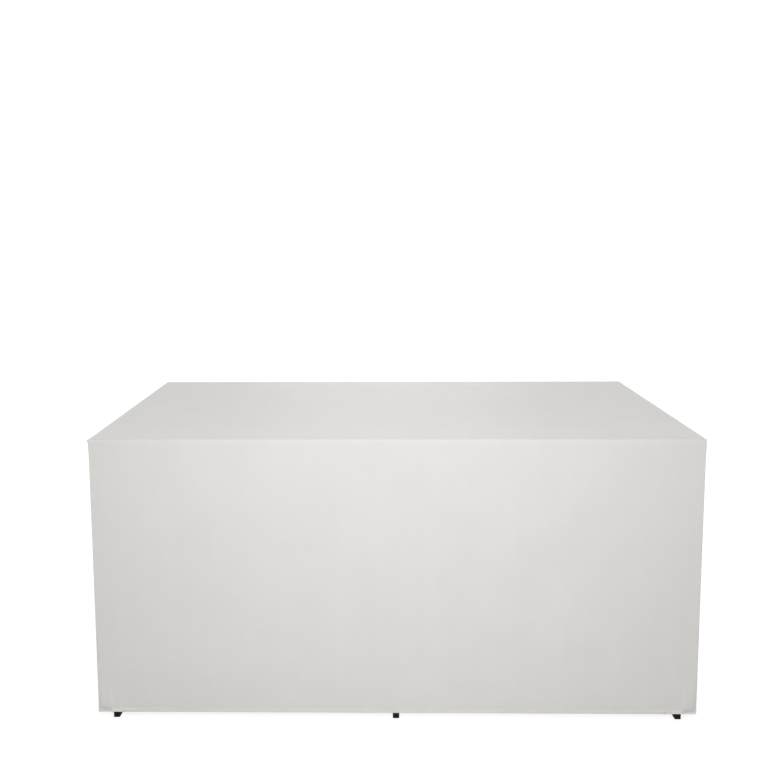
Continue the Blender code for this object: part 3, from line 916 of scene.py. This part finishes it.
def filled_in(section):
    """The outline with points added where its own are far apart, so that it follows folds."""
    filled = []
    for (height, out), (next_height, next_out) in zip(section, section[1:] + section[:1]):
        parts = max(1, math.ceil(abs(next_height - height) / BAND_STEP))
        for i in range(parts):
            share = i / parts
            filled.append((height + share * (next_height - height), out + share * (next_out - out)))
    return filled


def sweep_band(name, path, section, material):
    """A closed band along a path of (function from height to place, facing, run)."""
    cloth = Cloth()
    rows = []
    for height, out in section + section[:1]:
        rows.append([(place(height) + facing * out, (run, height)) for place, facing, run in path])
    cloth.grid(rows)
    first = [row[0] for row in rows[:-1]]
    last = [row[-1] for row in rows[:-1]]
    cloth.face(first)
    cloth.face(last[::-1])
    return cloth.object(name, material)


def walk(path, pitch):
    """Places along a polyline of (place, facing), one pitch apart, with the direction there."""
    ahead = pitch / 2
    for (start, start_facing), (stop, stop_facing) in zip(path, path[1:]):
        length = (stop - start).length
        while length > 0 and ahead <= length:
            share = ahead / length
            facing = start_facing.lerp(stop_facing, share).normalized()
            yield start.lerp(stop, share), facing, (stop - start) / length
            ahead += pitch
        ahead -= length


def add_stitch(cloth, place, facing, along):
    """One visible stitch: a short bent thread whose ends go into the cloth."""
    across = along.cross(facing).normalized()
    half = STITCH_LENGTH / 2
    rows = []
    for reach, lift, radius in STITCH_BEND:
        centre = place + along * (half * reach) + facing * (STITCH_RADIUS * lift)
        row = round_row(centre, across, facing, STITCH_RADIUS * radius, STITCH_SIDES, reach)
        rows.append(row[::-1])
    cloth.solid(rows)


def stitch_band(name, path, proud, stitch_rows):
    """Rows of stitches in the grooves of a band."""
    cloth = Cloth(shared=False)
    for row in stitch_rows:
        line = [(place(row) + facing * (proud - GROOVE), facing) for place, facing, _ in path]
        for place, facing, along in walk(line, STITCH_PITCH):
            add_stitch(cloth, place, facing, along)
    return cloth.object(name, thread)


def hem_path(columns):
    return [
        (lambda height, column=column: skirt_point(column, hem_z + height), column.facing, column.run)
        for column in columns
    ]


def line_from(start, direction):
    return lambda height: start + direction * height


def arch_path():
    """The valance's lower edge, with heights square to the arch."""
    path = []
    for column in rear_columns():
        x = column.place.x
        low = valance_point(column, arch_height(x))
        slope = ARCH_RISE * ARCH_POWER * abs(x / half_length) ** (ARCH_POWER - 1) / half_length
        slope *= smooth(column.from_corner / BINDING_TURN)
        upward = Vector((math.copysign(slope, x), 0.0, 1.0)).normalized()
        path.append((line_from(low, upward), column.facing, column.run))
    return path


def tape_path(sign):
    """Up the rear edge of a side panel, over the seam between the panel and the leg sleeve."""
    inward = Vector((-sign, 0.0, 0.0))
    facing = Vector((0.0, 1.0, 0.0))
    rear_y = half_depth - REAR_SINK - PANEL_BOW
    path = []
    for z in evenly(hem_z, arch_height(corner_x) + TAPE_BAND, SLEEVE_STEP):
        edge = Vector((sign * (corner_x + TAPE_OUTSIDE), rear_y, z))
        path.append((line_from(edge, inward), facing, z))
    return path if sign < 0 else path[::-1]


def add_band(name, path, band, proud, stitch_rows):
    """A band and its stitches, both on the cover."""
    section = filled_in(band_section(band, proud, stitch_rows))
    strip = sweep_band(name, path, section, binding_knit)
    stitches = stitch_band(name + "_stitches", path, proud, stitch_rows)
    for piece in (strip, stitches):
        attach(piece, "cover")
    return [strip, stitches]


# Leg sleeves

def ring_at(low, high, radius, z):
    """A rectangle with rounded corners at a height, counter-clockwise, that starts after its front.

    The length round it is the first coordinate of the cloth there.
    """
    centres = (
        (high[0] - radius, low[1] + radius, 1.5 * math.pi),
        (high[0] - radius, high[1] - radius, 0.0),
        (low[0] + radius, high[1] - radius, 0.5 * math.pi),
        (low[0] + radius, low[1] + radius, math.pi),
    )
    row = []
    run = 0.0
    for x, y, first in centres:
        for angle in quarter_turn(LOOP_STEPS):
            facing = Vector((math.cos(first + angle), math.sin(first + angle), 0.0))
            point = Vector((x, y, z)) + facing * radius
            if row:
                run += (point - row[-1][0]).length
            row.append((point, (run, z)))
    return row


def build_sleeve(side, sign):
    """A tube of cloth round a rear post, hemmed below and open in front where the rail comes in."""
    post_low, post_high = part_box(side + "_rear_post")
    rail_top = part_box(side + "_bottom_rail")[1].z
    outer_x = half_length - LOWER_SINK - CLOTH - SLEEVE_BEHIND
    inner_x = min(abs(post_low.x), abs(post_high.x)) - SLEEVE_ROOM
    front_y = post_low.y - SLEEVE_ROOM
    rear_y = half_depth - REAR_SINK - PANEL_BOW - CLOTH - SLEEVE_BEHIND
    hem_top = strip_z + SLEEVE_HEM
    slit_top = rail_top + SLEEVE_ROOM

    def ring(z, proud=0.0, crease=0.0):
        across = sorted((sign * outer_x, sign * (inner_x - proud + crease)))
        return ring_at((across[0], front_y + crease), (across[1], rear_y), SLEEVE_CORNER, z)

    low_rows = [ring(z, SLEEVE_HEM_PROUD) for z in evenly(strip_z, hem_top, SLEEVE_HEM / 4)]
    low_rows += [ring(z) for z in evenly(hem_top + SLEEVE_HEM_PROUD, slit_top, SLEEVE_HEM / 2)]
    high_rows = low_rows[-1:]
    low_rows = [row[LOOP_STEPS:-LOOP_STEPS] for row in low_rows]
    for z in evenly(slit_top, spring_z + SLEEVE_OVERLAP, SLEEVE_STEP)[1:]:
        crease = SLEEVE_CREASE * wander(sign * SLEEVE_SEED[0], z * SLEEVE_WAVES, SLEEVE_SEED[1])
        high_rows.append(ring(z, crease=crease))
    cloth = Cloth()
    cloth.grid(low_rows)
    cloth.grid(high_rows, closed=True)
    sleeve = cloth.object("leg_sleeve_" + side, knit)
    thicken(sleeve, SLEEVE_CLOTH)
    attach(sleeve, "cover")
    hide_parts("cover_leg_strip_" + side)
    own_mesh(sleeve)


# Board

def build_board():
    """The board with eased edges and corners, and a socket over each peg."""
    room = Vector((BOARD_ROOM, BOARD_ROOM, 0.0))
    low = board_low + room
    high = board_high - room
    half_edge = [(0.0, BOARD_EASE + BOARD_FLAT)]
    for angle in quarter_turn(BOARD_STEPS):
        half_edge.append((BOARD_EASE * (1 - math.cos(angle)), BOARD_EASE * (1 - math.sin(angle))))
    levels = [(low.z + rise, inset) for rise, inset in half_edge]
    levels += [(high.z - rise, inset) for rise, inset in reversed(half_edge)]
    rows = []
    for z, inset in levels:
        radius = BOARD_EASE + BOARD_FLAT + BOARD_FLAT - inset
        rows.append(ring_at((low.x + inset, low.y + inset), (high.x - inset, high.y - inset), radius, z))
    cloth = Cloth()
    cloth.solid(rows)
    board = cloth.object("eased_board", laminate)
    drill_sockets(board, low.z)
    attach(board, "tabletop")
    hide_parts("table_board")


def drill_sockets(board, underside):
    """Cuts the blind holes that the pegs stand in."""
    cutter_cloth = Cloth(shared=False)
    up = Vector((0.0, 0.0, 1.0))
    bit = ((SOCKET_RADIUS, -SOCKET_DEPTH), (SOCKET_RADIUS, SOCKET_DEPTH), (0.0, SOCKET_DEPTH))
    for place in ("left", "centre", "right"):
        low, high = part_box("board_peg_" + place)
        centre = (low + high) / 2
        centre.z = underside
        add_turned(cutter_cloth, centre, up, bit, SOCKET_SIDES)
    cutter = cutter_cloth.object("socket_cutter", laminate)
    cut = board.modifiers.new("sockets", "BOOLEAN")
    cut.operation = "DIFFERENCE"
    cut.object = cutter
    whole = board.data
    graph = bpy.context.evaluated_depsgraph_get()
    board.data = bpy.data.meshes.new_from_object(board.evaluated_get(graph))
    board.modifiers.clear()
    board.data.name = "eased_board"
    bpy.data.meshes.remove(whole)
    cutter_mesh = cutter.data
    bpy.data.objects.remove(cutter)
    bpy.data.meshes.remove(cutter_mesh)


# Fixings on the frame

def rivet_profile():
    return [
        (RIVET_RADIUS * math.cos(angle), RIVET_HEIGHT * math.sin(angle))
        for angle in quarter_turn(RIVET_RINGS)
    ]


def add_rivets(body, leaves):
    """Three domed rivets in each hinge leaf, on the face away from its post."""
    cloth = Cloth(shared=False)
    for middle, facing in leaves:
        for step in (-1, 0, 1):
            centre = middle + Vector((0.0, 0.0, step * RIVET_SPREAD))
            add_turned(cloth, centre, facing, rivet_profile(), RIVET_STEPS)
    rivets = cloth.object("hinge_rivets_" + body, zinc_dark)
    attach(rivets, body)


def build_rivets():
    front_leaves = []
    for side, sign in SIDES:
        side_leaves = []
        post_low, post_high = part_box("front_" + side + "_post")
        edge_low, edge_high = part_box(side + "_front_post")
        for level in ("lower", "upper"):
            low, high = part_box("hinge_pin_" + side + "_" + level)
            axis = (low + high) / 2
            place = Vector(((post_low.x + post_high.x) / 2, post_high.y + LEAF_FACE, axis.z))
            front_leaves.append((place, Vector((0, 1, 0))))
            inner = min(abs(edge_low.x), abs(edge_high.x)) - LEAF_FACE
            place = Vector((sign * inner, edge_high.y - RIVET_EDGE, axis.z))
            side_leaves.append((place, Vector((-sign, 0, 0))))
        add_rivets(side + "_side", side_leaves)
    add_rivets("front_frame", front_leaves)


def add_weld(cloth, path):
    """A rippled bead along a polyline of (place, facing)."""
    rows = []
    pitch = WELD_PITCH / WELD_STATIONS
    for count, (place, facing, along) in enumerate(walk(path, pitch)):
        share = (count % WELD_STATIONS) / WELD_STATIONS
        radius = WELD_RADIUS * (1 + WELD_SWELL * (share - 0.5))
        across = along.cross(facing).normalized()
        row = round_row(place, across, facing, radius, WELD_SIDES, count * pitch)
        rows.append(row[::-1])
    cloth.solid(rows)


def post_welds(cloth):
    """Beads round three sides of each front post, at both ends; the front is ground flush."""
    corner = WELD_CORNER
    for post in ("left", "centre", "right"):
        low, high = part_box("front_" + post + "_post")
        for z, lift in ((low.z, 1), (high.z, -1)):
            outline = (
                (low.x, low.y + corner, -1, 0), (low.x, high.y - corner, -1, 0),
                (low.x + corner, high.y, 0, 1), (high.x - corner, high.y, 0, 1),
                (high.x, high.y - corner, 1, 0), (high.x, low.y + corner, 1, 0),
            )
            path = []
            for x, y, out_x, out_y in outline:
                facing = Vector((out_x, out_y, lift)).normalized()
                path.append((Vector((x, y, z)), facing))
            add_weld(cloth, path)


def mitre_welds(cloth, side, sign):
    """Beads on the mitres of a side frame: across the inner face, and in the inside corner."""
    low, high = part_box(side + "_bottom_rail")
    tube = high.z - low.z
    inner_x = sign * min(abs(low.x), abs(high.x))
    outer_x = sign * max(abs(low.x), abs(high.x))
    upper_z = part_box(side + "_top_rail")[1].z
    inward = Vector((-sign, 0.0, 0.0))
    for y, y_in in ((low.y, 1), (high.y, -1)):
        for z, z_in in ((low.z, 1), (upper_z, -1)):
            start = Vector((inner_x, y + y_in * WELD_CORNER, z + z_in * WELD_CORNER))
            stop = Vector((inner_x, y + y_in * tube, z + z_in * tube))
            add_weld(cloth, [(start, inward), (stop, inward)])
            facing = Vector((0.0, y_in, z_in)).normalized()
            back = stop.copy()
            back.x = outer_x + inward.x * WELD_OUTER
            add_weld(cloth, [(stop, facing), (back, facing)])


def build_welds():
    front = Cloth(shared=False)
    post_welds(front)
    made = [(front.object("weld_beads_front", steel), "front_frame")]
    for side, sign in SIDES:
        cloth = Cloth(shared=False)
        mitre_welds(cloth, side, sign)
        made.append((cloth.object("weld_beads_" + side, steel), side + "_side"))
    for piece, body in made:
        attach(piece, body)


def build_foot(node, body, slope, forward=0.0, spread=0.0):
    """A moulded glide with rounded edges and a sole line; slope points to its undercut side."""
    low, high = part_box(node)
    low = low - Vector((spread, forward, 0.0))
    high = high + Vector((spread, 0.0, 0.0))
    height = rail_low.z - FOOT_GAP
    bend = FOOT_ROUND * FOOT_EDGE
    levels = [
        (0.0, FOOT_EDGE),
        (bend, bend),
        (FOOT_EDGE, 0.0),
        (FOOT_SOLE - FOOT_GROOVE, 0.0),
        (FOOT_SOLE, FOOT_GROOVE),
        (FOOT_SOLE + 2 * FOOT_GROOVE, FOOT_GROOVE),
        (FOOT_SOLE + 3 * FOOT_GROOVE, 0.0),
        (height - FOOT_EDGE, 0.0),
        (height - bend, bend),
        (height, FOOT_EDGE),
    ]
    rows = []
    for z, inset in levels:
        cut = FOOT_TAPER * (1 - z / height)
        lowest = [low.x + inset - min(0.0, slope[0]) * cut, low.y + inset - min(0.0, slope[1]) * cut]
        highest = [high.x - inset - max(0.0, slope[0]) * cut, high.y - inset - max(0.0, slope[1]) * cut]
        rows.append(ring_at(lowest, highest, FOOT_CORNER, z))
    cloth = Cloth()
    cloth.solid(rows)
    foot = cloth.object("glide_" + node[len("foot_"):], foot_plastic)
    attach(foot, body)
    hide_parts(node)


def build_feet():
    build_foot("foot_front_centre", "front_frame", (0, 0), FOOT_FORWARD)
    for side, sign in SIDES:
        build_foot("foot_front_" + side, "front_frame", (-sign, 0), FOOT_FORWARD, FOOT_SPREAD)
        build_foot("foot_rear_" + side, side + "_side", (0, -1))


finish_nodes()
stretch_cover, cover_columns = build_cover()
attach(stretch_cover, "cover")
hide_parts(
    "cover_top_panel", "cover_front_panel", "cover_left_panel", "cover_right_panel",
    "cover_rear_valance",
)
cover_trims = add_band("cover_hem", hem_path(cover_columns), HEM_BAND, HEM_PROUD, HEM_STITCHES)
cover_trims += add_band("arch_binding", arch_path(), BINDING_BAND, BINDING_PROUD, BINDING_STITCHES)
for side_name, side_sign in SIDES:
    cover_trims += add_band(
        "leg_seam_tape_" + side_name, tape_path(side_sign), TAPE_BAND, TAPE_PROUD, TAPE_STITCHES
    )
    build_sleeve(side_name, side_sign)
build_board()
build_rivets()
build_welds()
build_feet()


# Stage, light and camera

def seen_directly(tree):
    """1 for rays from the camera, and for those that metal or glass shows."""
    path = add_node(tree, "LightPath").outputs
    seen = maths(tree, "MAXIMUM", path["Is Camera Ray"], path["Is Glossy Ray"])
    return maths(tree, "MAXIMUM", seen, path["Is Transmission Ray"])


def show_directly(tree, unseen, seen, output):
    """One shader for the light that is given off, and another for what is looked at."""
    inputs = {0: seen_directly(tree), 1: unseen.outputs[0], 2: seen.outputs[0]}
    add_node(tree, output, {"Surface": add_node(tree, "MixShader", inputs).outputs[0]})


def emptied(owner):
    """The node tree of a material or a world, with nothing in it."""
    owner.use_nodes = True
    owner.node_tree.nodes.clear()
    return owner.node_tree


def floor_material():
    """Pale floor that runs into the white background and keeps the object's shadow near it."""
    material = bpy.data.materials.new("pale_floor")
    tree = emptied(material)
    place = add_node(tree, "NewGeometry").outputs["Position"]
    away = add_node(tree, "VectorMath", {0: place}, operation="LENGTH").outputs["Value"]
    glow = value_range(tree, away, FLOOR_PLAIN, 1.0, FLOOR_NEAR, FLOOR_FAR)
    plain = add_node(tree, "Emission", {"Color": WHITE, "Strength": glow})
    shaded = add_node(tree, "BsdfDiffuse", {"Color": FLOOR_SHADED})
    shown = add_node(tree, "AddShader", {0: plain.outputs[0], 1: shaded.outputs[0]})
    paint = add_node(tree, "BsdfDiffuse", {"Color": FLOOR_COLOUR})
    show_directly(tree, paint, shown, "OutputMaterial")
    return material


def make_floor():
    mesh = bpy.data.meshes.new("floor")
    corners = [(-1, -1), (1, -1), (1, 1), (-1, 1)]
    mesh.from_pydata([(x * FLOOR_HALF, y * FLOOR_HALF, 0.0) for x, y in corners], [], [(0, 1, 2, 3)])
    mesh.materials.append(floor_material())
    add_object("floor", mesh)


def make_world():
    world = bpy.data.worlds.new("studio")
    tree = emptied(world)
    light = add_node(tree, "Background", {"Color": WHITE, "Strength": WORLD_LIGHT})
    plain = add_node(tree, "Background", {"Color": WHITE, "Strength": 1.0})
    show_directly(tree, light, plain, "OutputWorld")
    bpy.context.scene.world = world


def soft_lamp(name, place, target, width, height, power):
    lamp = bpy.data.lights.new(name, "AREA")
    lamp.shape = "RECTANGLE"
    lamp.size = width
    lamp.size_y = height
    lamp.energy = power
    made = add_object(name, lamp)
    made.location = place
    aim = Vector(target) - Vector(place)
    made.rotation_euler = aim.to_track_quat("-Z", "Y").to_euler()


def make_camera():
    data = bpy.data.cameras.new("photo_camera")
    data.sensor_fit = "HORIZONTAL"
    data.sensor_width = SENSOR
    data.lens = FOCAL_PIXELS * SENSOR / PHOTO_WIDTH
    data.shift_x = (PHOTO_WIDTH / 2 - VIEW_CENTRE_X) / PHOTO_WIDTH
    data.shift_y = (VIEW_CENTRE_Y - PHOTO_HEIGHT / 2) / PHOTO_WIDTH
    data.clip_start = CLIP_NEAR
    data.clip_end = CLIP_FAR
    yaw = Matrix.Rotation(-CAMERA_YAW, 4, "Z")
    pitch = Matrix.Rotation(math.pi / 2 - CAMERA_PITCH, 4, "X")
    roll = Matrix.Rotation(CAMERA_ROLL, 4, "Z")
    camera = add_object("photo_camera", data)
    camera.matrix_world = Matrix.Translation(CAMERA_PLACE) @ yaw @ pitch @ roll
    bpy.context.scene.camera = camera


bpy.context.scene.view_settings.view_transform = "Standard"
make_floor()
make_world()
for lamp_values in LAMPS:
    soft_lamp(*lamp_values)
make_camera()
